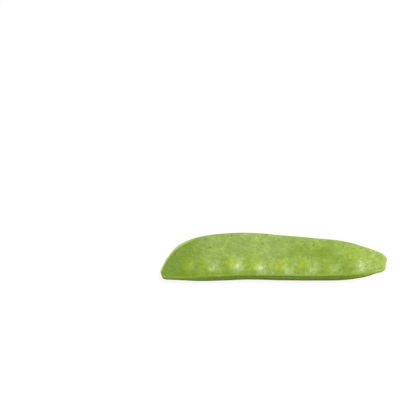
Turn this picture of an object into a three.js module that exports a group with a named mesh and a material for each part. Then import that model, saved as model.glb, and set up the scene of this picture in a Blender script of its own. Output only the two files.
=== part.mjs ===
// A snow pea pod, trimmed at both ends and lying on its broad side. Millimetres, +Z up.
// +X runs from the blossom end to the stalk end, and +Y from the ventral seam, which carries the peas, to
// the dorsal seam. The origin is on the surface that the pod lies on, under the middle of its box.
//
// The pod is first drawn flat, with its middle plane at z = 0. It is then bent to its bow and twist, and
// laid down.
import * as THREE from "three";
import { LoftGeometry } from "three/addons/geometries/LoftGeometry.js";

const { clamp, degToRad, lerp, smoothstep } = THREE.MathUtils;

// Ribs across the flat pod, from one cut to the other: where each leaves the ventral seam, and where it
// meets the dorsal seam.
const RIBS = [
  [[-39.3, 2.05], [-40.0, 3.75]],
  [[-38.9, 1.5], [-39.8, 4.7]],
  [[-38.1, 1.24], [-39.1, 6.3]],
  [[-36.6, 1.12], [-37.4, 9.5]],
  [[-32.6, 0.98], [-33.6, 13.85]],
  [[-26.6, 0.76], [-27.2, 16.6]],
  [[-18.5, 0.92], [-18.8, 17.95]],
  [[-8.5, 1.25], [-9.0, 18.4]],
  [[3.0, 0.97], [3.0, 17.45]],
  [[14.5, 0.89], [14.5, 16.4]],
  [[24.5, 1.05], [24.5, 15.4]],
  [[31.6, 2.01], [32.0, 13.3]],
  [[36.2, 3.44], [37.2, 11.35]],
  [[37.9, 3.9], [38.7, 10.38]],
  [[38.85, 4.35], [39.7, 9.5]],
  [[39.25, 4.95], [40.0, 8.7]],
];
const HALF_LENGTH = 40;
const HALF_WIDTH = 9.1;

// Thickness: half of it at each seam, the swell midway between them, and the share that is left at each
// cut, with the length over which the pod thins to it.
const VENTRAL_HALF = 1.7;
const DORSAL_HALF = 0.5;
const SWELL = 0.42;
const BLOSSOM_TAPER = { share: 0.5, length: 17 };
const STALK_TAPER = { share: 0.42, length: 19 };

// How far from each seam its edge is rounded off, and how square the rounding is.
const VENTRAL_ROUND = 0.7;
const DORSAL_ROUND = 0.55;
const SQUARENESS = 3;

// Lines that run the length of the pod. The lip borders the flat band of the ventral seam, with a hollow
// behind it. The cord stiffens the dorsal seam. The groove runs down the middle of the ventral seam.
const LIP = { at: 0.6, height: 0.06, width: 0.35 };
const HOLLOW = { at: 1.6, height: -0.05, width: 0.6 };
const CORD = { at: 0.6, height: 0.06, width: 0.4 };
const GROOVE = { depth: 0.3, halfWidth: 0.4 };

// The young peas swell both walls in a row beside the ventral seam. Each swelling falls away by its reach
// along and across the pod. Its height is a share of a full pea's.
const PEA_SWELLING = { height: 0.72, reachAlong: 2.5, reachAcross: 3 };
const PEAS = [
  { x: -31.5, fromSeam: 3.2, share: 0.25 },
  { x: -23.2, fromSeam: 4.7, share: 0.53 },
  { x: -14.7, fromSeam: 5, share: 0.86 },
  { x: -6.3, fromSeam: 4, share: 0.92 },
  { x: 3.5, fromSeam: 4.1, share: 0.67 },
  { x: 12, fromSeam: 4.1, share: 0.5 },
  { x: 19.2, fromSeam: 4.2, share: 0.68 },
  { x: 30.3, fromSeam: 6.5, share: 0.75 },
];

// Slow swells and hollows of the walls: how high they are, how fast they turn in radians per millimetre
// along and across the pod, and where they start. A phase of its own makes the lower wall differ.
const WAVES = [
  { height: 0.07, along: 0.21, across: 0.33, phase: 0.4 },
  { height: 0.05, along: -0.34, across: 0.27, phase: 2.1 },
  { height: 0.04, along: 0.52, across: -0.41, phase: 4 },
];
const LOWER_WALL_PHASE = 5;

// Each cut has a slightly rounded edge and a slit where the two walls part. A slit's length is a share of
// the cut's.
const CUT_ROUND = 0.14;
const STALK_SLIT = { length: 0.58, halfWidth: 0.16, depth: 1.2 };
const BLOSSOM_SLIT = { length: 0.5, halfWidth: 0.08, depth: 0.5 };
const SLIT_FLOOR_SIZE = 0.8;
const SLIT_FLOOR_RISE = 0.05;

// The ends bend down by the bow and turn about the pod's length by the twist.
const BOW = 0.4;
const TWIST = degToRad(-2.5);

// The pod lies on its pea bumps and on a low swell beside the dorsal seam, a hair flattened where it touches.
const ROLL = degToRad(-7.9);
const PITCH = degToRad(0.2);
const LIFT = 1.8;

const STATIONS = 84;
const AROUND = 60;
// How closely the points around the pod crowd at the ventral seam: less is closer.
const CROWDING = 0.12;

const ventral = new THREE.SplineCurve(RIBS.map(([v]) => new THREE.Vector2(...v)));
const dorsal = new THREE.SplineCurve(RIBS.map(([, d]) => new THREE.Vector2(...d)));
const middle = new THREE.SplineCurve(
  RIBS.map(([v, d]) => new THREE.Vector2(...v).lerp(new THREE.Vector2(...d), 0.5)),
);

// The line across the flat pod at a place along it, from 0 at the blossom cut to 1 at the stalk cut.
function ribAt(along) {
  const t = middle.getUtoTmapping(along);
  const start = ventral.getPoint(t);
  const across = dorsal.getPoint(t).sub(start);
  return { start, length: across.length(), direction: across.clone().normalize() };
}

const peas = PEAS.map(({ x, fromSeam, share }) => {
  const { start } = ribAt((x + HALF_LENGTH) / (2 * HALF_LENGTH));
  return { x, y: start.y + fromSeam, share };
});

// What is left of the full thickness at x.
function girth(x) {
  const fromBlossom = smoothstep(x, -HALF_LENGTH, BLOSSOM_TAPER.length - HALF_LENGTH);
  const fromStalk = smoothstep(-x, -HALF_LENGTH, STALK_TAPER.length - HALF_LENGTH);
  return lerp(BLOSSOM_TAPER.share, 1, fromBlossom) * lerp(STALK_TAPER.share, 1, fromStalk);
}

// A low ridge or hollow along the pod, read at a distance from the seam that it follows.
function ridge(line, distance) {
  return line.height * Math.exp(-(((distance - line.at) / line.width) ** 2));
}

// How much of the thickness is left at a distance from a rounded edge.
function rounding(distance, radius) {
  const inside = Math.min(distance / radius, 1);
  return (1 - (1 - inside) ** SQUARENESS) ** (1 / SQUARENESS);
}

// How far a wall stands off the pod's middle plane at (x, y). v is the distance from the ventral seam
// along a rib of the given length, and side is 1 on the upper wall and -1 on the lower one.
function wallHeight(x, y, v, length, side) {
  const share = v / length;
  let wall = lerp(VENTRAL_HALF, DORSAL_HALF, share) + SWELL * Math.sin(Math.PI * share);
  wall += ridge(LIP, v) + ridge(HOLLOW, v) + ridge(CORD, length - v);
  for (const wave of WAVES) {
    const start = side > 0 ? wave.phase : wave.phase + LOWER_WALL_PHASE;
    wall += wave.height * Math.sin(wave.along * x + wave.across * y + start);
  }
  wall *= girth(x);
  for (const pea of peas) {
    const along = (x - pea.x) / PEA_SWELLING.reachAlong;
    const across = (y - pea.y) / PEA_SWELLING.reachAcross;
    wall += PEA_SWELLING.height * pea.share * Math.exp(-(along ** 2) - across ** 2);
  }
  return wall * rounding(v, VENTRAL_ROUND) * rounding(length - v, DORSAL_ROUND);
}

// Where a point of the flat pod ends up once the pod is bent and laid down.
const layDown = new THREE.Matrix4().makeRotationFromEuler(new THREE.Euler(ROLL, PITCH, 0, "YXZ"));
function place(flat, z) {
  const reach = flat.x / HALF_LENGTH;
  const turned = new THREE.Vector2(flat.y - HALF_WIDTH, z).rotateAround(new THREE.Vector2(), TWIST * reach);
  const point = new THREE.Vector3(flat.x, turned.x, turned.y - BOW * reach ** 2).applyMatrix4(layDown);
  point.z = Math.max(point.z + LIFT, 0);
  return point;
}

// Angles around the pod, from the ventral seam and under the pod to the dorsal seam.
const angles = Array.from({ length: AROUND }, (_, i) => (2 * Math.PI * i) / AROUND);

// The share of a rib, from the ventral seam, that an angle around the pod stands at.
function ribShare(angle) {
  const folded = Math.min(angle, 2 * Math.PI - angle) / Math.PI;
  const crowd = (folded ** 2 * (1 + CROWDING ** 2)) / (folded ** 2 + CROWDING ** 2);
  return crowd * lerp(folded, (1 - Math.cos(Math.PI * folded)) / 2, 0.5);
}

// The closed outline around the pod at one place along it, drawn in by inset where a cut is rounded.
function skinOutline(along, inset = 0) {
  const { start, length, direction } = ribAt(along);
  const centre = start.clone().addScaledVector(direction, length / 2);
  const keepAcross = 1 - (2 * inset) / length;
  const keepThick = 1 - inset / wallHeight(centre.x, centre.y, length / 2, length, 1);
  return angles.map((angle) => {
    const side = angle > Math.PI ? 1 : -1;
    const v = length * ribShare(angle);
    const flat = start.clone().addScaledVector(direction, v);
    const z = side * wallHeight(flat.x, flat.y, v, length, side) * keepThick;
    const nearVentral = Math.max(Math.cos(angle), 0);
    const groove = GROOVE.depth * nearVentral * Math.exp(-((z / GROOVE.halfWidth) ** 2));
    flat.copy(centre).addScaledVector(direction, (v + groove - length / 2) * keepAcross);
    return place(flat, z);
  });
}

// The outline of the slit in a cut, moved into the pod by depth and drawn in to a share of its size.
function slitOutline(along, slit, depth, size) {
  const { start, length, direction } = ribAt(along);
  const inward = new THREE.Vector2(-direction.y, direction.x).multiplyScalar(along > 0.5 ? depth : -depth);
  return angles.map((angle) => {
    const v = (length * (1 - slit.length * size * Math.cos(angle))) / 2;
    const flat = start.clone().addScaledVector(direction, v).add(inward);
    return place(flat, -slit.halfWidth * size * Math.sin(angle));
  });
}

// The outlines that close an end: the rounded edge of the cut, then the slit's mouth, wall and floor. The
// middle of the floor rises a hair, so that the loft's cap faces out of the slit.
function cutOutlines(along, slit) {
  return [
    skinOutline(along, CUT_ROUND),
    slitOutline(along, slit, 0, 1),
    slitOutline(along, slit, slit.depth, SLIT_FLOOR_SIZE),
    slitOutline(along, slit, slit.depth - SLIT_FLOOR_RISE, SLIT_FLOOR_SIZE / 2),
  ];
}

function podGeometry() {
  const round = CUT_ROUND / middle.getLength();
  const skin = Array.from({ length: STATIONS + 1 }, (_, i) =>
    skinOutline(clamp(i / STATIONS, round, 1 - round)),
  );
  const sections = [...cutOutlines(0, BLOSSOM_SLIT).reverse(), ...skin, ...cutOutlines(1, STALK_SLIT)];
  const geometry = new LoftGeometry(sections, { capStart: true, capEnd: true });
  geometry.computeBoundingBox();
  const centre = geometry.boundingBox.getCenter(new THREE.Vector3());
  return geometry.translate(-centre.x, -centre.y, 0);
}

const podSkin = new THREE.MeshStandardMaterial({ color: 0x9bb658, roughness: 0.42, metalness: 0 });
const pod = new THREE.Mesh(podGeometry(), podSkin);
pod.name = "pod";

const snowPeaPod = new THREE.Group();
snowPeaPod.add(pod);

export default snowPeaPod;
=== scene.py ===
"""A fresh snow pea pod, trimmed at both ends, lying on its broad side on a white table.

The pod is one mesh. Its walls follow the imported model's shape, with the fine relief of the skin added, and
its coordinates are the model's: +X to the stalk end, +Y from the ventral seam, which carries the peas, to
the dorsal seam, and +Z up. The shape is worked out in millimetres and scaled to metres at the end.
"""

import math

import bpy
import numpy as np
from mathutils import Euler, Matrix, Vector


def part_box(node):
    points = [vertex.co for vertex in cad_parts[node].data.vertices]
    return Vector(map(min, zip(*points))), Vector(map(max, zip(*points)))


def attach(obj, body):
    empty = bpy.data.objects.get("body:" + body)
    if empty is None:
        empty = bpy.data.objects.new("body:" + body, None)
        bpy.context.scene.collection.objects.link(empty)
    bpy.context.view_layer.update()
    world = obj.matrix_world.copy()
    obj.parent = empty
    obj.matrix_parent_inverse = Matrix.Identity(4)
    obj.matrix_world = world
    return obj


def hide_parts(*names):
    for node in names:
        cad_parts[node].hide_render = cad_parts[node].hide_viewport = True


MM = 0.001

# Ribs across the flat pod, from one cut to the other: where each leaves the ventral seam, and where it
# meets the dorsal seam.
RIBS = np.array(
    [
        [[-39.3, 2.05], [-40.0, 3.75]],
        [[-38.9, 1.5], [-39.8, 4.7]],
        [[-38.1, 1.24], [-39.1, 6.3]],
        [[-36.6, 1.12], [-37.4, 9.5]],
        [[-32.6, 0.98], [-33.6, 13.85]],
        [[-26.6, 0.76], [-27.2, 16.6]],
        [[-18.5, 0.92], [-18.8, 17.95]],
        [[-8.5, 1.25], [-9.0, 18.4]],
        [[3.0, 0.97], [3.0, 17.45]],
        [[14.5, 0.89], [14.5, 16.4]],
        [[24.5, 1.05], [24.5, 15.4]],
        [[31.6, 2.01], [32.0, 13.3]],
        [[36.2, 3.44], [37.2, 11.35]],
        [[37.9, 3.9], [38.7, 10.38]],
        [[38.85, 4.35], [39.7, 9.5]],
        [[39.25, 4.95], [40.0, 8.7]],
    ]
)
HALF_LENGTH = 40
HALF_WIDTH = 9.1

# Thickness: half of it at each seam, the swell midway between them, and the share that is left at each
# cut, with the length over which the pod thins to it.
VENTRAL_HALF = 1.7
DORSAL_HALF = 0.5
SWELL = 0.42
BLOSSOM_SHARE, BLOSSOM_TAPER = 0.5, 17
STALK_SHARE, STALK_TAPER = 0.42, 19

# How far from each seam its edge is rounded off, and how square the rounding is.
VENTRAL_ROUND = 0.7
DORSAL_ROUND = 0.55
SQUARENESS = 3

# Lines that run the length of the pod, as (distance from the seam, height, width). The lip borders the
# flat band of the ventral seam, with a hollow behind it. The cord stiffens the dorsal seam.
LIP = (0.6, 0.06, 0.35)
HOLLOW = (1.6, -0.05, 0.6)
CORD = (0.6, 0.06, 0.4)
# The groove down the middle of the ventral seam: its depth and half its width.
GROOVE_DEPTH, GROOVE_HALF = 0.3, 0.4

# The young peas swell both walls in a row beside the ventral seam. Each swelling falls away by its reach
# along and across the pod, and its height is a share of a full pea's.
PEA_HEIGHT = 0.72
PEA_REACH_ALONG, PEA_REACH_ACROSS = 2.5, 3.0
# The peas, as (x, distance from the ventral seam, share).
PEAS = (
    (-31.5, 3.2, 0.25),
    (-23.2, 4.7, 0.53),
    (-14.7, 5.0, 0.86),
    (-6.3, 4.0, 0.92),
    (3.5, 4.1, 0.67),
    (12.0, 4.1, 0.5),
    (19.2, 4.2, 0.68),
    (30.3, 6.5, 0.75),
)

# Slow swells and hollows of the walls, as (height, radians per millimetre along, the same across, phase).
# A phase of its own makes the lower wall differ.
WAVES = (
    (0.07, 0.21, 0.33, 0.4),
    (0.05, -0.34, 0.27, 2.1),
    (0.04, 0.52, -0.41, 4),
)
LOWER_WALL_PHASE = 5

# Each cut has a slightly rounded edge and a slit, as (share of the cut's length, half its width, depth).
CUT_ROUND = 0.14
STALK_SLIT = (0.58, 0.16, 1.2)
BLOSSOM_SLIT = (0.5, 0.08, 0.5)

# The ends bend down by the bow and turn about the pod's length by the twist. The pod is then rolled,
# pitched and lifted to lie on its pea bumps and a low swell beside the dorsal seam.
BOW = 0.4
TWIST = math.radians(-2.5)
ROLL = math.radians(-7.9)
PITCH = math.radians(0.2)
LIFT = 1.8

# How finely the pod is meshed along and around, and in how many steps its length is measured.
STATIONS = 400
AROUND = 220
ARC_STEPS = 200


# ---------------------------------------------------------------- the pod's outline


def lerp(a, b, share):
    return a + (b - a) * share


def smoothstep(x, low, high):
    share = np.clip((x - low) / (high - low), 0, 1)
    return share * share * (3 - 2 * share)


def spline(points, t):
    """A uniform Catmull-Rom curve through points, at each t from 0 to 1."""
    last = len(points) - 1
    run = np.asarray(t, float) * last
    i = np.minimum(np.floor(run).astype(int), last - 1)
    w = (run - i)[:, None]
    before = points[np.maximum(i - 1, 0)]
    p, q = points[i], points[i + 1]
    after = points[np.minimum(i + 2, last)]
    leave, arrive = (q - before) / 2, (after - p) / 2
    return (
        (2 * p - 2 * q + leave + arrive) * w**3
        + (-3 * p + 3 * q - 2 * leave - arrive) * w**2
        + leave * w
        + p
    )


def length_table():
    """Curve parameters of the pod's middle line, the share of it that each has reached, and its length."""
    t = np.linspace(0, 1, ARC_STEPS + 1)
    steps = np.linalg.norm(np.diff(spline(RIBS.mean(1), t), axis=0), axis=1)
    run = np.concatenate([[0], np.cumsum(steps)])
    return t, run / run[-1], run[-1]


TABLE_T, TABLE_SHARE, MIDDLE_LENGTH = length_table()


def rib_at(along):
    """Start, direction and length of the line across the flat pod, at places along it from 0 to 1."""
    t = np.interp(along, TABLE_SHARE, TABLE_T)
    start = spline(RIBS[:, 0], t)
    across = spline(RIBS[:, 1], t) - start
    length = np.linalg.norm(across, axis=1)
    return start, across / length[:, None], length


def one_rib(along):
    """Start, direction and length of the line across the flat pod at one place along it."""
    return (values[0] for values in rib_at(np.array([along])))


# ---------------------------------------------------------------- the pod's walls


def girth(x):
    """What is left of the full thickness at x."""
    from_blossom = smoothstep(x, -HALF_LENGTH, BLOSSOM_TAPER - HALF_LENGTH)
    from_stalk = smoothstep(-x, -HALF_LENGTH, STALK_TAPER - HALF_LENGTH)
    return lerp(BLOSSOM_SHARE, 1, from_blossom) * lerp(STALK_SHARE, 1, from_stalk)


def ridge(line, distance):
    """A low ridge or hollow along the pod, read at a distance from the seam that it follows."""
    at, height, width = line
    return height * np.exp(-(((distance - at) / width) ** 2))


def rounding(distance, radius):
    """How much of the thickness is left at a distance from a rounded edge."""
    inside = np.clip(distance / radius, 0, 1)
    return (1 - (1 - inside) ** SQUARENESS) ** (1 / SQUARENESS)


def pea_domes(x, y):
    """Height of the round swellings that the peas make, as a share of a full pea's."""
    swelling = np.zeros(np.shape(x))
    for pea_x, from_seam, share in PEAS:
        start, _, _ = one_rib((pea_x + HALF_LENGTH) / (2 * HALF_LENGTH))
        along = (x - pea_x) / PEA_REACH_ALONG
        across = (y - start[1] - from_seam) / PEA_REACH_ACROSS
        swelling = swelling + share * np.exp(-(along**2) - across**2)
    return swelling


def wall_height(x, y, v, length, upper):
    """How far a wall stands off the pod's middle plane. v is the distance from the ventral seam."""
    share = v / length
    wall = lerp(VENTRAL_HALF, DORSAL_HALF, share) + SWELL * np.sin(np.pi * share)
    wall = wall + ridge(LIP, v) + ridge(HOLLOW, v) + ridge(CORD, length - v)
    for height, along, across, phase in WAVES:
        start = np.where(upper, phase, phase + LOWER_WALL_PHASE)
        wall = wall + height * np.sin(along * x + across * y + start)
    wall = wall * girth(x) + PEA_HEIGHT * pea_domes(x, y)
    return wall * rounding(v, VENTRAL_ROUND) * rounding(length - v, DORSAL_ROUND)


def place(x, y, z):
    """Where points of the flat pod end up once it is bent and laid down."""
    reach = x / HALF_LENGTH
    turn = TWIST * reach
    side = y - HALF_WIDTH
    bent_y = side * np.cos(turn) - z * np.sin(turn)
    bent_z = side * np.sin(turn) + z * np.cos(turn) - BOW * reach**2
    lay_down = np.array(Euler((0, PITCH, 0)).to_matrix() @ Euler((ROLL, 0, 0)).to_matrix())
    points = np.stack([x, bent_y, bent_z], axis=-1) @ lay_down.T
    points[..., 2] = np.maximum(points[..., 2] + LIFT, 0)
    return points


# ---------------------------------------------------------------- random patterns

# How many cells it takes each pattern to repeat.
NETWORK_CELLS, NOISE_CELLS = 64, 128
# How wide the network's edges are, and a distance beyond every neighbour, in cells.
EDGE_WIDTH, FAR_AWAY = 0.12, 9.0


def cell_network(p, q, seed):
    """1 on the edges between jittered unit cells, falling to 0 inside them."""
    cells = NETWORK_CELLS
    jitter = np.random.default_rng(seed).random((cells, cells, 2))
    column, row = np.floor(p).astype(int), np.floor(q).astype(int)
    nearest = np.full(p.shape, FAR_AWAY)
    second = np.full(p.shape, FAR_AWAY)
    for i in (-1, 0, 1):
        for j in (-1, 0, 1):
            centre = jitter[(column + i) % cells, (row + j) % cells]
            away = np.hypot(column + i + centre[..., 0] - p, row + j + centre[..., 1] - q)
            second = np.minimum(second, np.maximum(nearest, away))
            nearest = np.minimum(nearest, away)
    return np.exp(-(((second - nearest) / EDGE_WIDTH) ** 2))


def soft_noise(p, q, seed):
    """Smooth noise from -1 to 1 that changes over about one unit of p and q."""
    cells = NOISE_CELLS
    values = np.random.default_rng(seed).uniform(-1, 1, (cells, cells))
    column, row = np.floor(p).astype(int), np.floor(q).astype(int)
    along, across = smoothstep(p - column, 0, 1), smoothstep(q - row, 0, 1)
    near = lerp(values[column % cells, row % cells], values[column % cells, (row + 1) % cells], across)
    column = column + 1
    far = lerp(values[column % cells, row % cells], values[column % cells, (row + 1) % cells], across)
    return lerp(near, far, along)


# ---------------------------------------------------------------- the fine relief of the skin

# The open wall is clear of both seams: the distances from each between which it sets in.
OPEN_FROM_VENTRAL = (1.3, 2.8)
OPEN_FROM_DORSAL = (1.0, 2.2)
# Nearer than this to a seam, all the relief fades out.
RELIEF_FROM_VENTRAL, RELIEF_FROM_DORSAL = 1.2, 0.9

# Unevenness of the open wall, as (height, size along, size across, seed).
UNEVENNESS = (
    (0.03, 2.3, 2.1, 11),
    (0.014, 0.9, 0.8, 12),
)

# The net of veins: its height, the size of its cells along and across, how far it leans towards the stalk
# end for each millimetre from the ventral seam, and how far it sways, in cells, over what length.
VEIN_HEIGHT = 0.01
VEIN_CELL_ALONG, VEIN_CELL_ACROSS = 1.7, 3.1
VEIN_LEAN = 0.55
VEIN_SWAY_ALONG, VEIN_SWAY_ACROSS = 0.5, 0.15
VEIN_SWAY_SIZE = 5

# Creases run in from the cuts: their height and number, and the distances from the pod's middle between
# which they set in.
CREASE_HEIGHT, CREASE_COUNT = 0.018, 12
CREASE_REACH = (29, 38)
# They wander by up to this share of their spacing. The wander changes over this length along the pod, and
# this many times across it.
CREASE_WANDER = 0.5
CREASE_WANDER_LENGTH, CREASE_WANDER_TIMES = 6, 4

# Fibres along the ventral seam: their height and spacing, and the distances from the seam between which
# they fade out.
FIBRE_HEIGHT, FIBRE_SPACING = 0.012, 0.42
FIBRE_EDGE = (0.2, 0.8)

# The small brown-green specks: their depth and radius, and how ragged their edges are, over what size.
SPECK_DEPTH, SPECK_RADIUS = 0.02, 0.32
SPECK_RAGGED, SPECK_RAGGED_SIZE = 0.16, 0.25
# The specks of a wall, as (x, distance from the ventral seam, strength).
SPECKS = (
    (-24.3, 14.9, 1.0),
    (-22.4, 11.6, 1.3),
    (-21.2, 12.5, 0.7),
    (-17.6, 16.2, 0.75),
    (-14.9, 15.9, 0.9),
    (-10.6, 13.7, 0.7),
    (-3.8, 12.7, 1.1),
    (-4.4, 11.4, 0.75),
    (14.1, 12.5, 1.2),
    (9.2, 10.9, 0.75),
    (7.4, 2.2, 1.0),
    (23.4, 2.8, 1.1),
    (1.6, 9.6, 0.7),
)

# How many cells a pattern is shifted by on the lower wall, so that the two walls differ.
VEIN_SHIFT, UNEVENNESS_SHIFT = 31, 57

SWAY_SEED, VEIN_SEED, CREASE_SEED = 3, 7, 21
SPECK_SEED_ALONG, SPECK_SEED_ACROSS = 41, 42


def vein_net(x, v, upper):
    """The net of fine veins, which leave the ventral seam and slant towards the stalk end."""
    sway = soft_noise(x / VEIN_SWAY_SIZE, v / VEIN_SWAY_SIZE, SWAY_SEED)
    side = np.where(upper, 0, VEIN_SHIFT)
    p = (x - VEIN_LEAN * v) / VEIN_CELL_ALONG + VEIN_SWAY_ALONG * sway + side
    q = v / VEIN_CELL_ACROSS + VEIN_SWAY_ACROSS * sway
    return cell_network(p, q, VEIN_SEED)


def speck_mask(x, v, upper):
    """The specks, as soft dots. On the lower wall they run the other way along the pod."""
    mask = np.zeros(np.shape(x))
    fine_x, fine_v = x / SPECK_RAGGED_SIZE, v / SPECK_RAGGED_SIZE
    ragged_x = x + SPECK_RAGGED * soft_noise(fine_x, fine_v, SPECK_SEED_ALONG)
    ragged_v = v + SPECK_RAGGED * soft_noise(fine_x, fine_v, SPECK_SEED_ACROSS)
    for speck_x, speck_v, strength in SPECKS:
        centre_x = np.where(upper, speck_x, -speck_x)
        away = (ragged_x - centre_x) ** 2 + (ragged_v - speck_v) ** 2
        mask = mask + strength * np.exp(-away / SPECK_RADIUS**2)
    return mask


def creases(x, share):
    """Height of the folds that run in from the cuts. share is the place across the pod, from 0 to 1."""
    wander = soft_noise(x / CREASE_WANDER_LENGTH, share * CREASE_WANDER_TIMES, CREASE_SEED)
    folds = np.cos(2 * np.pi * (share * CREASE_COUNT + CREASE_WANDER * wander))
    return CREASE_HEIGHT * smoothstep(np.abs(x), *CREASE_REACH) * folds


def fibres(v):
    """Height of the fibres that run along the ventral seam."""
    return FIBRE_HEIGHT * np.cos(2 * np.pi * v / FIBRE_SPACING) * (1 - smoothstep(v, *FIBRE_EDGE))


def skin_relief(x, v, length, upper):
    """What the skin's unevenness, veins and creases add to a wall, and where the veins and specks are."""
    open_wall = smoothstep(v, *OPEN_FROM_VENTRAL) * smoothstep(length - v, *OPEN_FROM_DORSAL)
    vein = vein_net(x, v, upper) * open_wall
    specks = speck_mask(x, v, upper)
    relief = VEIN_HEIGHT * vein + creases(x, v / length) + fibres(v) - SPECK_DEPTH * specks
    side = np.where(upper, 0, UNEVENNESS_SHIFT)
    for height, size_along, size_across, seed in UNEVENNESS:
        relief = relief + open_wall * height * soft_noise(x / size_along + side, v / size_across, seed)
    relief = relief * rounding(v, RELIEF_FROM_VENTRAL) * rounding(length - v, RELIEF_FROM_DORSAL)
    return relief, vein, specks


# ---------------------------------------------------------------- where the skin's colour changes

# Each row of these tables is a soft patch, as (x, distance from the ventral seam, reach along, reach
# across, strength). The peas and the blossom tip yellow the wall.
YELLOW_PATCHES = (
    (-38.4, 2.3, 1.6, 2.0, 0.6),
    (-31.0, 4.4, 2.2, 4.0, 0.75),
    (-24.0, 5.4, 3.2, 4.0, 0.75),
    (-14.8, 6.0, 3.2, 3.2, 0.9),
    (-7.2, 6.4, 2.6, 3.2, 0.8),
    (2.8, 4.5, 3.0, 2.6, 0.95),
    (10.9, 4.8, 2.6, 3.0, 0.75),
    (17.4, 8.8, 2.8, 2.4, 0.5),
    (19.6, 3.8, 2.4, 2.6, 0.7),
    (27.5, 7.4, 2.4, 4.0, 0.8),
)
# Where the wall is deeper or, below 0, lighter than the rest. The deeper patches are the wall's own tone.
# The lighter ones beside and below the peas are painted light over the shade of their swellings, and the
# lighter one near the dorsal seam is a painted sheen.
TONE_AND_PAINTED_LIGHT_PATCHES = (
    (-31.0, 10.0, 4.0, 4.5, 0.25),
    (-27.4, 6.8, 2.0, 2.6, -0.4),
    (-25.0, 12.0, 4.0, 4.0, -0.15),
    (-14.0, 4.2, 2.4, 1.5, -0.4),
    (-7.0, 3.4, 2.8, 2.8, -1.3),
    (-2.6, 3.0, 2.6, 2.2, -0.7),
    (3.2, 3.2, 3.0, 2.6, -1.2),
    (10.4, 3.6, 2.8, 2.8, -1.0),
    (14.6, 3.4, 2.2, 2.2, -0.6),
    (-4.0, 14.4, 8.0, 3.0, -0.45),
    (3.0, 9.6, 4.5, 3.0, 0.2),
    (14.0, 9.2, 9.0, 4.2, 0.42),
    (17.2, 10.0, 3.2, 1.8, 0.5),
    (20.5, 7.0, 3.2, 2.2, 0.25),
    (24.4, 3.6, 3.2, 2.8, 0.55),
    (26.0, 8.0, 2.8, 2.6, 0.4),
    (26.0, 10.4, 4.5, 2.6, -0.3),
    (3.2, 6.4, 2.4, 1.8, 0.6),
    (9.0, 9.2, 1.6, 1.8, 0.3),
    (17.0, 8.3, 2.2, 1.4, 0.2),
    (27.0, 2.2, 2.4, 1.8, 0.9),
    (32.2, 3.6, 1.6, 1.4, 0.25),
)
# Painted light: where the wall is paler on the peas' swellings, beside and around their highlights.
PAINTED_LIGHT_PATCHES = (
    (-29.8, 5.0, 1.5, 2.8, 0.4),
    (-15.4, 4.6, 1.6, 2.0, 0.8),
    (-6.3, 3.3, 1.3, 1.5, 1.0),
    (1.4, 3.4, 1.4, 1.5, 0.6),
    (16.1, 4.1, 1.6, 1.7, 0.55),
    (22.6, 4.2, 1.4, 1.7, 0.5),
)
# Where the wall is greyer.
GREY_PATCHES = (
    (-37.4, 4.8, 1.2, 2.0, 0.4),
    (-35.2, 2.4, 2.6, 1.4, 0.9),
    (-34.4, 6.0, 1.8, 1.6, 0.7),
    (-33.4, 10.4, 1.8, 2.0, 0.5),
    (-28.6, 3.4, 1.6, 2.6, 0.5),
)
# How far the edges of the patches wander and how strongly the patches are mottled, each over what size.
PATCH_WANDER, PATCH_WANDER_SIZE = 0.9, 2
PATCH_MOTTLE, PATCH_MOTTLE_SIZE = 0.3, 1.3
# How many cells these patterns are shifted by on the lower wall.
PATCH_SHIFT = 83
PATCH_SEED_ALONG, PATCH_SEED_ACROSS, PATCH_SEED_MOTTLE = 31, 32, 33

# The distances from the ventral seam between which its band and its keel fade out, and from the dorsal
# seam between which its cord does.
BAND_EDGE = (0.55, 1.0)
KEEL_EDGE = (0.1, 0.5)
CORD_EDGE = (0.75, 1.25)
# The painted shade beside the band, where the wall rolls over into it, as (distance from the seam, strength,
# width).
SHOULDER_SHADE = (1.2, 1.0, 1.0)
# The shares of the pod's length between which the tip at the stalk cut sets in.
TIP_EDGE = (0.978, 0.995)

# How much less waxy the skin is beside the ventral seam, towards the blossom end. This sets in between two
# distances from the pod's middle, and fades out between two distances from the seam.
MATT_BLOSSOM = 0.6
MATT_BLOSSOM_SETS_IN = (4.0, 12.0)
MATT_BLOSSOM_FADES = (1.5, 4.2)
# The same in the pod's middle and towards the stalk end.
MATT_MIDDLE, MATT_STALK = 0.08, 0.5
MATT_STALK_SETS_IN = (20.5, 26.0)
MATT_STALK_FADES = (2.0, 7.0)


def patch_mask(patches, x, v, upper):
    """The sum of soft patches with uneven edges."""
    side = np.where(upper, 0, PATCH_SHIFT)
    coarse_x, coarse_v = x / PATCH_WANDER_SIZE + side, v / PATCH_WANDER_SIZE
    uneven_x = x + PATCH_WANDER * soft_noise(coarse_x, coarse_v, PATCH_SEED_ALONG)
    uneven_v = v + PATCH_WANDER * soft_noise(coarse_x, coarse_v, PATCH_SEED_ACROSS)
    mask = np.zeros(np.shape(x))
    for patch_x, patch_v, reach_along, reach_across, strength in patches:
        along, across = (uneven_x - patch_x) / reach_along, (uneven_v - patch_v) / reach_across
        mask = mask + strength * np.exp(-(along**2) - across**2)
    mottle = soft_noise(x / PATCH_MOTTLE_SIZE + side, v / PATCH_MOTTLE_SIZE, PATCH_SEED_MOTTLE)
    return mask * (1 + PATCH_MOTTLE * mottle)


def matt_mask(x, v):
    """How much less waxy the skin is beside the ventral seam, towards either end of the pod."""
    blossom = MATT_BLOSSOM * smoothstep(-x, *MATT_BLOSSOM_SETS_IN)
    stalk = lerp(MATT_MIDDLE, MATT_STALK, smoothstep(x, *MATT_STALK_SETS_IN))
    blossom = blossom * (1 - smoothstep(v, *MATT_BLOSSOM_FADES))
    stalk = stalk * (1 - smoothstep(v, *MATT_STALK_FADES))
    return np.maximum(blossom, stalk)


# ---------------------------------------------------------------- the pod's mesh

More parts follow.
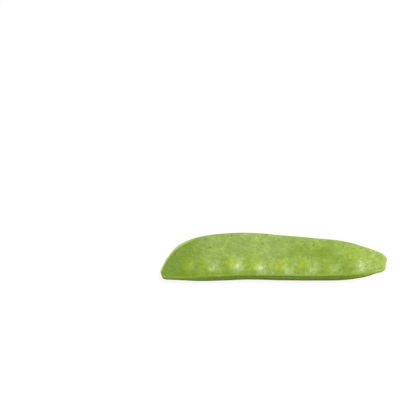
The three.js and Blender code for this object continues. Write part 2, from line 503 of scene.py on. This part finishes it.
# How many outlines round off a cut's edge, and where the others cross the cut, as shares of the way from
# its edge to the slit.
EDGE_STEPS = 4
CUT_SHARES = (0.12, 0.3, 0.5, 0.7, 0.88)
# How deep the outlines inside a slit are, as shares of its depth, how much of its size it loses by its
# floor, and the size of the outline in the floor.
SLIT_SHARES = (0, 0.15, 0.4, 0.7, 1)
SLIT_NARROWING = 0.2
SLIT_FLOOR_SIZE = 0.4

# Angles around the pod, from the ventral seam under the pod to the dorsal seam and back over it.
ANGLE = 2 * np.pi * np.arange(AROUND) / AROUND
UPPER = ANGLE > np.pi
# The share of a rib, from the ventral seam, that each angle stands at: half way between even spacing and
# one that is closest at both seams, and crowded further at the ventral seam. A lower crowding is closer.
CROWDING = 0.06
FOLDED = np.minimum(ANGLE, 2 * np.pi - ANGLE) / np.pi
RIB_SHARE = lerp(FOLDED, (1 - np.cos(np.pi * FOLDED)) / 2, 0.5)
RIB_SHARE = RIB_SHARE * FOLDED**2 * (1 + CROWDING**2) / (FOLDED**2 + CROWDING**2)


def skin_outline(along, inset):
    """One outline round the flat pod, drawn in by inset, and the masks that colour it."""
    start, direction, length = one_rib(along)
    v = RIB_SHARE * length
    x, y = (start + direction * v[:, None]).T
    relief, vein, specks = skin_relief(x, v, length, UPPER)
    centre = start + direction * length / 2
    keep_thick = 1 - inset / wall_height(*centre, length / 2, length, True)
    keep_across = 1 - 2 * inset / length
    z = np.where(UPPER, 1, -1) * (wall_height(x, y, v, length, UPPER) + relief) * keep_thick
    groove = np.maximum(np.cos(ANGLE), 0) * np.exp(-((z / GROOVE_HALF) ** 2))
    flat = centre + direction * ((v + GROOVE_DEPTH * groove - length / 2) * keep_across)[:, None]
    masks = {
        "vein": vein,
        "band": 1 - smoothstep(v, *BAND_EDGE),
        "cord": 1 - smoothstep(length - v, *CORD_EDGE),
        "keel": 1 - smoothstep(v, *KEEL_EDGE),
        "shoulder_shade": ridge(SHOULDER_SHADE, v),
        "groove": groove,
        "yellow": patch_mask(YELLOW_PATCHES, x, v, UPPER),
        "tone_and_painted_light": patch_mask(TONE_AND_PAINTED_LIGHT_PATCHES, x, v, UPPER),
        "grey": patch_mask(GREY_PATCHES, x, v, UPPER),
        "painted_light": patch_mask(PAINTED_LIGHT_PATCHES, x, v, UPPER),
        "tip": np.full(AROUND, smoothstep(along, *TIP_EDGE)),
        "matt": matt_mask(x, v),
        "speck": specks,
        "cut": np.zeros(AROUND),
    }
    return np.column_stack([flat, z]), masks


def slit_outline(along, slit, depth, size):
    """One outline of the slit in a cut, moved into the pod by depth and drawn in to a share of its size."""
    start, direction, length = one_rib(along)
    share, half_width, _ = slit
    inward = np.array([-direction[1], direction[0]]) * (depth if along > 0.5 else -depth)
    v = length * (1 - share * size * np.cos(ANGLE)) / 2
    flat = start + direction * v[:, None] + inward
    return np.column_stack([flat, -half_width * size * np.sin(ANGLE)])


def cut_rows(along, slit):
    """The outlines that close an end, from the pod's skin over the cut and into its slit."""
    rows = []
    outward = 1 if along > 0.5 else -1
    for step in range(1, EDGE_STEPS + 1):
        turn = math.pi / 2 * step / EDGE_STEPS
        place_along = along - outward * CUT_ROUND * (1 - math.sin(turn)) / MIDDLE_LENGTH
        rows.append(skin_outline(place_along, CUT_ROUND * (1 - math.cos(turn))))
    edge, masks = rows[-1]
    masks = {name: values * 0 for name, values in masks.items()} | {"cut": np.ones(AROUND)}
    mouth = slit_outline(along, slit, 0, 1)
    for share in CUT_SHARES:
        rows.append((lerp(edge, mouth, share), masks))
    depth = slit[2]
    for share in SLIT_SHARES:
        rows.append((slit_outline(along, slit, depth * share, 1 - SLIT_NARROWING * share), masks))
    rows.append((slit_outline(along, slit, depth, SLIT_FLOOR_SIZE), masks))
    return rows


def pod_rows():
    """Every outline of the pod, from the floor of one slit to the floor of the other."""
    margin = CUT_ROUND / MIDDLE_LENGTH
    stations = np.clip(np.linspace(0, 1, STATIONS + 1), margin, 1 - margin)
    skin = [skin_outline(along, 0) for along in stations]
    return cut_rows(0, BLOSSOM_SLIT)[::-1] + skin + cut_rows(1, STALK_SLIT)


def grid_faces(rows):
    """Quads between neighbouring outlines, and a fan over each end."""
    row, here = np.meshgrid(np.arange(rows - 1) * AROUND, np.arange(AROUND), indexing="ij")
    after = (here + 1) % AROUND
    next_row = row + AROUND
    quads = np.stack([row + here, row + after, next_row + after, next_row + here], -1)
    first, last = rows * AROUND, rows * AROUND + 1
    top = (rows - 1) * AROUND
    fans = [(first, (k + 1) % AROUND, k) for k in range(AROUND)]
    fans += [(last, top + k, top + (k + 1) % AROUND) for k in range(AROUND)]
    return quads.reshape(-1, 4).tolist() + fans


def make_pod():
    """The pod's mesh, with a point in the middle of each slit's floor and one attribute for each mask."""
    rows = pod_rows()
    points = np.array([outline for outline, _ in rows])
    ends = np.array([points[0].mean(0), points[-1].mean(0)])
    placed = place(*np.concatenate([points.reshape(-1, 3), ends]).T)
    placed[:, :2] -= (placed[:, :2].min(0) + placed[:, :2].max(0)) / 2
    mesh = bpy.data.meshes.new("snow_pea_pod")
    mesh.from_pydata((placed * MM).tolist(), [], grid_faces(len(rows)))
    mesh.polygons.foreach_set("use_smooth", [True] * len(mesh.polygons))
    masks = [row_masks for _, row_masks in rows]
    for name in masks[0]:
        values = [row_masks[name] for row_masks in masks]
        values = np.concatenate([*values, values[0][:1], values[-1][:1]])
        attribute = mesh.attributes.new(name, "FLOAT", "POINT")
        attribute.data.foreach_set("value", values.astype(np.float32))
    mesh.update()
    pod = bpy.data.objects.new("snow_pea_pod", mesh)
    bpy.context.scene.collection.objects.link(pod)
    return pod


# ---------------------------------------------------------------- materials

# A Mix node's sockets share their names, so these are the places of its factor, its two colours and the
# mixed colour.
MIX_FACTOR, MIX_FIRST, MIX_SECOND = 0, 6, 7
MIX_RESULT = 2


class Shader:
    """A material's node tree, with short methods for the nodes that the materials use."""

    def __init__(self, name):
        self.material = bpy.data.materials.new(name)
        self.material.use_nodes = True
        self.tree = self.material.node_tree
        self.tree.nodes.clear()

    def node(self, kind, **settings):
        node = self.tree.nodes.new(kind)
        for name, value in settings.items():
            setattr(node, name, value)
        return node

    def feed(self, socket, value):
        """Links value to the socket if it is another node's output, and sets it otherwise."""
        if isinstance(value, bpy.types.NodeSocket):
            self.tree.links.new(value, socket)
        else:
            socket.default_value = value

    def mask(self, name):
        """The mesh's attribute of that name."""
        return self.node("ShaderNodeAttribute", attribute_name=name).outputs["Fac"]

    def millimetres(self):
        """The place on the object, in millimetres."""
        metres = self.node("ShaderNodeTexCoord").outputs["Object"]
        return self.scaled(metres, (1 / MM, 1 / MM, 1 / MM))

    def scaled(self, vector, scale):
        """The vector with each of its parts multiplied by that of scale."""
        node = self.node("ShaderNodeVectorMath", operation="MULTIPLY")
        self.feed(node.inputs[0], vector)
        node.inputs[1].default_value = scale
        return node.outputs[0]

    def x_of(self, vector):
        node = self.node("ShaderNodeSeparateXYZ")
        self.feed(node.inputs[0], vector)
        return node.outputs["X"]

    def noise(self, vector, scale, detail, roughness, distortion=0.0):
        node = self.node("ShaderNodeTexNoise")
        self.feed(node.inputs["Vector"], vector)
        node.inputs["Scale"].default_value = scale
        node.inputs["Detail"].default_value = detail
        node.inputs["Roughness"].default_value = roughness
        node.inputs["Distortion"].default_value = distortion
        return node.outputs["Fac"]

    def spread(self, value, low, high, to_low=0.0, to_high=1.0):
        """Maps low..high to to_low..to_high smoothly."""
        node = self.node("ShaderNodeMapRange", interpolation_type="SMOOTHSTEP")
        self.feed(node.inputs["Value"], value)
        for name, number in zip(("From Min", "From Max", "To Min", "To Max"), (low, high, to_low, to_high)):
            node.inputs[name].default_value = number
        return node.outputs["Result"]

    def math(self, operation, a, b):
        node = self.node("ShaderNodeMath", operation=operation)
        self.feed(node.inputs[0], a)
        self.feed(node.inputs[1], b)
        return node.outputs[0]

    def times(self, a, b):
        return self.math("MULTIPLY", a, b)

    def mix(self, factor, a, b, blend="MIX"):
        node = self.node("ShaderNodeMix", data_type="RGBA", blend_type=blend)
        for socket, value in zip((MIX_FACTOR, MIX_FIRST, MIX_SECOND), (factor, a, b)):
            self.feed(node.inputs[socket], (*value, 1) if isinstance(value, tuple) else value)
        return node.outputs[MIX_RESULT]

    def bump(self, height, distance, normal=None):
        node = self.node("ShaderNodeBump")
        node.inputs["Strength"].default_value = 1.0
        node.inputs["Distance"].default_value = distance
        self.feed(node.inputs["Height"], height)
        if normal is not None:
            self.feed(node.inputs["Normal"], normal)
        return node.outputs[0]

    def finish(self, surface):
        """Makes the surface the material's, and returns the material."""
        output = self.node("ShaderNodeOutputMaterial")
        self.tree.links.new(surface, output.inputs["Surface"])
        return self.material


# Colours, as linear red, green and blue.
GREEN = (0.352, 0.51, 0.074)
LIGHT_GREEN = (0.47, 0.62, 0.084)
DEEP_GREEN = (0.192, 0.313, 0.022)
GREY_GREEN = (0.205, 0.33, 0.08)
SHADE_GREEN = (0.19, 0.29, 0.008)
PALE_GREEN = (0.52, 0.67, 0.15)
# The ventral band's green is darker than the wall's: partly the seam's own colour, partly painted shade.
BAND_GREEN_AND_SHADE = (0.135, 0.24, 0.018)
KEEL_GREEN = (0.235, 0.37, 0.055)
SHOULDER_SHADE_GREEN = (0.2, 0.36, 0.01)
# Partly the dorsal cord's own paler colour, partly painted rim light on its edge.
PALE_CORD_AND_PAINTED_RIM_LIGHT = (0.56, 0.71, 0.19)
SPECK_GREEN = (0.07, 0.075, 0.01)
PITH = (0.55, 0.66, 0.28)
# Where the wall is yellow, its colour is multiplied by this.
YELLOW_TINT = (1.17, 1.14, 0.12)

# The skin's noises, as (scale per millimetre, detail, roughness, distortion, low, high). Each is 0 up to
# its low value and 1 from its high one.
SKIN_NOISES = {
    "patchy": (0.22, 3, 0.6, 0.0, 0.3, 0.7),
    "greyish": (0.5, 3, 0.6, 1.7, 0.4, 0.7),
    "clouds": (0.3, 2, 0.5, 0.6, 0.35, 0.65),
    "mottle": (0.7, 3, 0.6, 0.0, 0.34, 0.66),
    "grain": (1.5, 3, 0.75, 0.0, 0.35, 0.65),
    "flecks": (1.9, 2, 0.6, 0.5, 0.5, 0.68),
}

# The pod's ends differ from its middle. Each end is (x where it sets in, x where it is complete).
ENDS = {"blossom": (-24.0, -31.0), "stalk": (20.0, 31.0)}
STALK_LIGHTNESS = 0.75

# The layers of colour over the wall. First come soft patches, as (mask, value where they set in, value
# where they are complete, strength, colour).
TONE_AND_PAINTED_LIGHT_LAYERS = (
    # Lighter patches, partly painted light and a painted sheen, then deeper patches of the wall's own tone.
    ("tone_and_painted_light", 0.0, -1.0, 1.0, LIGHT_GREEN),
    ("tone_and_painted_light", 0.0, 1.0, 1.0, DEEP_GREEN),
)
# Then noises, as (noise, end, strength away from that end, strength at it, colour).
NOISE_LAYERS = (
    ("patchy", "blossom", 0.3, 0.12, LIGHT_GREEN),
    ("clouds", "stalk", 0.54, 0.26, DEEP_GREEN),
    ("mottle", "stalk", 0.6, 0.44, SHADE_GREEN),
    ("grain", "stalk", 0.46, 0.38, SHADE_GREEN),
    ("greyish", "blossom", 0.15, 0.42, GREY_GREEN),
)
# Then more patches, in the same terms as the first.
GREY_LAYER = ("grey", 0.0, 1.0, 0.8, GREY_GREEN)
# Painted light on the peas' swellings, beside and around their highlights.
PAINTED_LIGHT_LAYER = ("painted_light", 0.0, 1.0, 0.7, PALE_GREEN)
YELLOW_LAYER = ("yellow", 0.1, 1.0, 0.9, YELLOW_TINT)
SPECK_LAYER = ("speck", 0.3, 0.85, 0.85, SPECK_GREEN)
# How strongly the other details show.
FLECK_STRENGTH = 0.18
VEIN_STRENGTH = 0.06
TIP_STRENGTH = 0.45
CUT_STRENGTH = 0.9

# Lines of colour along the seams, as (mask, x where a change sets in, x where it is complete, strength
# before it, strength after it, colour).
# Painted shade along the wall beside the ventral band, stronger towards the blossom end.
SHOULDER_SHADE_LINE = ("shoulder_shade", -14.0, -8.0, 0.45, 0.16, SHOULDER_SHADE_GREEN)
SEAM_LINES = (
    # Painted shade darkens the groove down the middle of the ventral seam, fading out towards the stalk end.
    ("groove", 26.0, 34.0, 0.6, 0.0, DEEP_GREEN),
    # Painted light: the band is paler towards both ends, where its shaded underside shows.
    ("band", 32.0, 37.0, 0.0, 0.6, PALE_GREEN),
    ("band", -22.0, -34.0, 0.0, 0.28, PALE_GREEN),
    # The pale cord at the blossom end: partly its own paler colour, partly painted rim light on the edge.
    ("cord", -33.0, -26.0, 0.75, 0.08, PALE_CORD_AND_PAINTED_RIM_LIGHT),
)
# The band's darker green, partly its own colour and partly painted shade, is faint at the blossom end and
# fades out at the stalk end. Both changes are (x where it sets in, x where it is complete, strength before
# it, strength after it).
BAND_SETS_IN = (-30.0, -20.0, 0.2, 0.9)
BAND_FADES = (26.0, 36.0, 1.0, 0.0)

# The strands of the ventral seam, which are drawn out along the pod: their noise, as (scale per millimetre
# across, detail, roughness), its low and high values, how much of each axis's scale is left, and how
# strongly they lighten the keel.
STRAND_NOISE = (2.2, 3, 0.6)
STRAND_RANGE = (0.35, 0.65)
STRAND_STRETCH = (0.12, 1.0, 1.0)
STRAND_STRENGTH = 0.3

# Roughness of the skin, as (where it isn't patchy, where it is), and of the ventral band.
SKIN_ROUGHNESS = (0.28, 0.36)
BAND_ROUGHNESS = 0.6
# The specular level of the waxy skin, and of the stretch of it towards the stalk end that is less waxy. The
# stretch sets in between the first two values of x and ends between the other two.
WAXY, LESS_WAXY = 0.5, 0.3
LESS_WAXY_SETS_IN, LESS_WAXY_ENDS = (0.0, 10.0), (32.0, 27.0)
# How much of that level is left on the band, at the blossom end and where the tone is deep.
WAX_ON_BAND, WAX_AT_BLOSSOM, WAX_IN_DEEP_TONE = 0.03, 0.4, 0.4
# A thin, smooth coat covers the skin apart from the band.
COAT_WEIGHT, COAT_ROUGHNESS = 0.09, 0.12

# Heights of the skin's bumps: of the strands and then of the skin's cells, as (noise scale per millimetre,
# detail, roughness, height).
STRAND_BUMP = 0.25
CELL_BUMPS = (
    (1.8, 3, 0.65, 0.11),
    (0.8, 2, 0.5, 0.08),
)

# How much of the light passes under the skin, and how many millimetres its red, green and blue spread.
SUBSURFACE_WEIGHT = 0.2
SUBSURFACE_RADIUS = (0.7, 1.0, 0.3)


def patches_over(shader, colour, layer, blend="MIX"):
    """The colour with one layer of patches over it."""
    mask, low, high, strength, tint = layer
    factor = shader.spread(shader.mask(mask), low, high, 0.0, strength)
    return shader.mix(factor, colour, tint, blend)


def noise_over(shader, colour, noises, ends, layer):
    """The colour with one layer of noise over it."""
    noise, end, away_from_end, at_end, tint = layer
    strength = shader.spread(ends[end], 0.0, 1.0, away_from_end, at_end)
    return shader.mix(shader.times(noises[noise], strength), colour, tint)


def line_over(shader, colour, x, line):
    """The colour with one line along a seam over it."""
    mask, start, complete, before, after, tint = line
    strength = shader.spread(x, start, complete, before, after)
    return shader.mix(shader.times(shader.mask(mask), strength), colour, tint)


def wall_colour(shader, noises, ends):
    """The colour of the open wall."""
    colour = shader.mix(ends["blossom"], GREEN, DEEP_GREEN)
    colour = shader.mix(shader.times(ends["stalk"], STALK_LIGHTNESS), colour, LIGHT_GREEN)
    for layer in TONE_AND_PAINTED_LIGHT_LAYERS:
        colour = patches_over(shader, colour, layer)
    for layer in NOISE_LAYERS:
        colour = noise_over(shader, colour, noises, ends, layer)
    colour = patches_over(shader, colour, GREY_LAYER)
    colour = patches_over(shader, colour, PAINTED_LIGHT_LAYER)
    colour = patches_over(shader, colour, YELLOW_LAYER, blend="MULTIPLY")
    colour = shader.mix(shader.times(noises["flecks"], FLECK_STRENGTH), colour, PALE_GREEN)
    return shader.mix(shader.times(shader.mask("vein"), VEIN_STRENGTH), colour, PALE_GREEN)


def seams_over(shader, colour, x, strands):
    """The wall's colour with both seams over it."""
    colour = line_over(shader, colour, x, SHOULDER_SHADE_LINE)
    band = shader.times(shader.mask("band"), shader.spread(x, *BAND_SETS_IN))
    band = shader.times(band, shader.spread(x, *BAND_FADES))
    lighter = shader.times(shader.spread(strands, *STRAND_RANGE), STRAND_STRENGTH)
    keel = shader.mix(lighter, KEEL_GREEN, GREEN)
    colour = shader.mix(band, colour, shader.mix(shader.mask("keel"), BAND_GREEN_AND_SHADE, keel))
    for line in SEAM_LINES:
        colour = line_over(shader, colour, x, line)
    return colour


def details_over(shader, colour):
    """The skin's colour with the tip, the cuts and the specks over it."""
    colour = shader.mix(shader.times(shader.mask("tip"), TIP_STRENGTH), colour, PALE_GREEN)
    colour = shader.mix(shader.times(shader.mask("cut"), CUT_STRENGTH), colour, PITH)
    return patches_over(shader, colour, SPECK_LAYER)


def skin_roughness(shader, noises):
    """The roughness of the skin, which is higher on the ventral band."""
    skin = shader.spread(noises["patchy"], 0.0, 1.0, *SKIN_ROUGHNESS)
    return shader.math("MAXIMUM", skin, shader.times(shader.mask("band"), BAND_ROUGHNESS))


def wax_level(shader, x, ends):
    """The specular level, which is lower where the skin is less waxy."""
    less_waxy = shader.times(shader.spread(x, *LESS_WAXY_SETS_IN), shader.spread(x, *LESS_WAXY_ENDS))
    wax = shader.spread(less_waxy, 0.0, 1.0, WAXY, LESS_WAXY)
    wax = shader.times(wax, shader.spread(shader.mask("band"), 0.0, 1.0, 1.0, WAX_ON_BAND))
    wax = shader.times(wax, shader.spread(ends["blossom"], 0.0, 1.0, 1.0, WAX_AT_BLOSSOM))
    wax = shader.times(wax, shader.math("SUBTRACT", 1.0, shader.mask("matt")))
    return shader.times(wax, shader.spread(shader.mask("tone_and_painted_light"), 0.0, 1.0, 1.0, WAX_IN_DEEP_TONE))


def skin_normal(shader, mm, strands):
    """The bumps of the ventral seam's strands and, over them, of the skin's cells."""
    normal = shader.bump(shader.times(strands, shader.mask("band")), STRAND_BUMP * MM)
    for scale, detail, roughness, height in CELL_BUMPS:
        normal = shader.bump(shader.noise(mm, scale, detail, roughness), height * MM, normal=normal)
    return normal


def pod_material():
    """Waxy green skin, a little translucent, with paler pith on the cuts."""
    shader = Shader("pod_skin")
    mm = shader.millimetres()
    x = shader.x_of(mm)
    strands = shader.noise(shader.scaled(mm, STRAND_STRETCH), *STRAND_NOISE)
    ends = {name: shader.spread(x, *reach) for name, reach in ENDS.items()}
    noises = {}
    for name, (*settings, low, high) in SKIN_NOISES.items():
        noises[name] = shader.spread(shader.noise(mm, *settings), low, high)
    colour = wall_colour(shader, noises, ends)
    colour = seams_over(shader, colour, x, strands)
    colour = details_over(shader, colour)
    coat = shader.spread(shader.mask("band"), 0.0, 1.0, COAT_WEIGHT, 0.0)
    bsdf = shader.node("ShaderNodeBsdfPrincipled")
    shader.feed(bsdf.inputs["Base Color"], colour)
    shader.feed(bsdf.inputs["Roughness"], skin_roughness(shader, noises))
    shader.feed(bsdf.inputs["Specular IOR Level"], wax_level(shader, x, ends))
    shader.feed(bsdf.inputs["Normal"], skin_normal(shader, mm, strands))
    shader.feed(bsdf.inputs["Coat Weight"], coat)
    bsdf.inputs["Coat Roughness"].default_value = COAT_ROUGHNESS
    bsdf.inputs["Subsurface Weight"].default_value = SUBSURFACE_WEIGHT
    bsdf.inputs["Subsurface Radius"].default_value = SUBSURFACE_RADIUS
    bsdf.inputs["Subsurface Scale"].default_value = MM
    return shader.finish(bsdf.outputs[0])


# The table lights the pod as a pale grey. Where it is seen it glows white, and its darker grey keeps the
# pod's shadow.
TABLE_GREY = (0.8, 0.8, 0.8)
SEEN_GREY = (0.11, 0.11, 0.11)
SEEN_GLOW = 0.906


def floor_material():
    """A pale table that the camera sees as white, a little darker where the pod shades it."""
    shader = Shader("white_table")
    path = shader.node("ShaderNodeLightPath")
    seen = shader.math("MAXIMUM", path.outputs["Is Camera Ray"], path.outputs["Is Glossy Ray"])
    seen = shader.math("MAXIMUM", seen, path.outputs["Is Transmission Ray"])
    plain = shader.node("ShaderNodeBsdfDiffuse")
    shader.feed(plain.inputs["Color"], shader.mix(seen, TABLE_GREY, SEEN_GREY))
    glow = shader.node("ShaderNodeEmission")
    shader.feed(glow.inputs["Strength"], shader.times(seen, SEEN_GLOW))
    both = shader.node("ShaderNodeAddShader")
    shader.feed(both.inputs[0], plain.outputs[0])
    shader.feed(both.inputs[1], glow.outputs[0])
    return shader.finish(both.outputs[0])


# ---------------------------------------------------------------- the table, the light and the camera

FLOOR_SIZE = 4.0
WORLD_STRENGTH = 0.24
# The lamps, as (name, direction from the pod, distance, size, power).
LAMPS = (
    ("key", (0.38, 0.27, 0.885), 2.0, 0.62, 29.5),
    ("back", (-0.1, 0.8, 0.59), 1.6, 0.8, 5.0),
    ("front", (0.1, -0.93, 0.36), 1.6, 0.8, 2.5),
)

CAMERA_ELEVATION = math.radians(79)
LENS = 200.0
SENSOR = 36.0
# The camera sees from its distance divided by this to its distance multiplied by it.
CLIP_RATIO = 100
# The pod's share of the picture's width, and how far its middle is right of and below the picture's.
POD_SHARE = 0.5654
POD_RIGHT = 0.1842
POD_BELOW = 0.1403


def make_floor():
    half = FLOOR_SIZE / 2
    corners = [(-half, -half, 0), (half, -half, 0), (half, half, 0), (-half, half, 0)]
    mesh = bpy.data.meshes.new("table")
    mesh.from_pydata(corners, [], [(0, 1, 2, 3)])
    mesh.materials.append(floor_material())
    table = bpy.data.objects.new("table", mesh)
    bpy.context.scene.collection.objects.link(table)


def make_world():
    """A dim, even light, which the camera itself sees as white."""
    world = bpy.data.worlds.new("studio")
    world.use_nodes = True
    tree = world.node_tree
    background = tree.nodes["Background"]
    background.inputs["Color"].default_value = (1, 1, 1, 1)
    path = tree.nodes.new("ShaderNodeLightPath")
    strength = tree.nodes.new("ShaderNodeMapRange")
    strength.inputs["To Min"].default_value = WORLD_STRENGTH
    strength.inputs["To Max"].default_value = 1
    tree.links.new(path.outputs["Is Camera Ray"], strength.inputs["Value"])
    tree.links.new(strength.outputs["Result"], background.inputs["Strength"])
    bpy.context.scene.world = world


def make_lamp(name, direction, distance, size, power):
    light = bpy.data.lights.new(name, "AREA")
    light.shape = "DISK"
    light.size = size
    light.energy = power
    lamp = bpy.data.objects.new(name, light)
    towards = Vector(direction).normalized()
    lamp.location = towards * distance
    lamp.rotation_euler = towards.to_track_quat("Z", "Y").to_euler()
    bpy.context.scene.collection.objects.link(lamp)


def make_camera(target, width):
    """Looks down on the target, which is as wide as POD_SHARE of the picture."""
    data = bpy.data.cameras.new("camera")
    data.lens = LENS
    data.sensor_width = SENSOR
    distance = width / POD_SHARE * LENS / SENSOR
    data.clip_start = distance / CLIP_RATIO
    data.clip_end = distance * CLIP_RATIO
    camera = bpy.data.objects.new("camera", data)
    back = Vector((0, -math.cos(CAMERA_ELEVATION), math.sin(CAMERA_ELEVATION)))
    camera.location = target + back * distance
    up = math.atan(POD_BELOW * SENSOR / LENS)
    left = math.atan(POD_RIGHT * SENSOR / LENS)
    camera.rotation_mode = "QUATERNION"
    camera.rotation_quaternion = back.to_track_quat("Z", "Y") @ Euler((up, left, 0)).to_quaternion()
    bpy.context.scene.collection.objects.link(camera)
    bpy.context.scene.camera = camera


# ---------------------------------------------------------------- the scene

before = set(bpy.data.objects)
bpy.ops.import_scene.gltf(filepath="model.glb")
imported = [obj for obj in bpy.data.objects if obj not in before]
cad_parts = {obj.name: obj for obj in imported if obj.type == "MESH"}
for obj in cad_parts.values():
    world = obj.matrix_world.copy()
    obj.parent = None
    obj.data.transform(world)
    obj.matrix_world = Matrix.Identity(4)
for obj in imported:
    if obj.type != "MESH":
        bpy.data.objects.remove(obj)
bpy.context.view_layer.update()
bpy.context.scene.view_settings.view_transform = "Standard"

pod = make_pod()
pod.data.materials.append(pod_material())
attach(pod, "root")
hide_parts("pod")

make_floor()
make_world()
for lamp in LAMPS:
    make_lamp(*lamp)
pod_low, pod_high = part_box("pod")
make_camera((pod_low + pod_high) / 2, pod_high.x - pod_low.x)
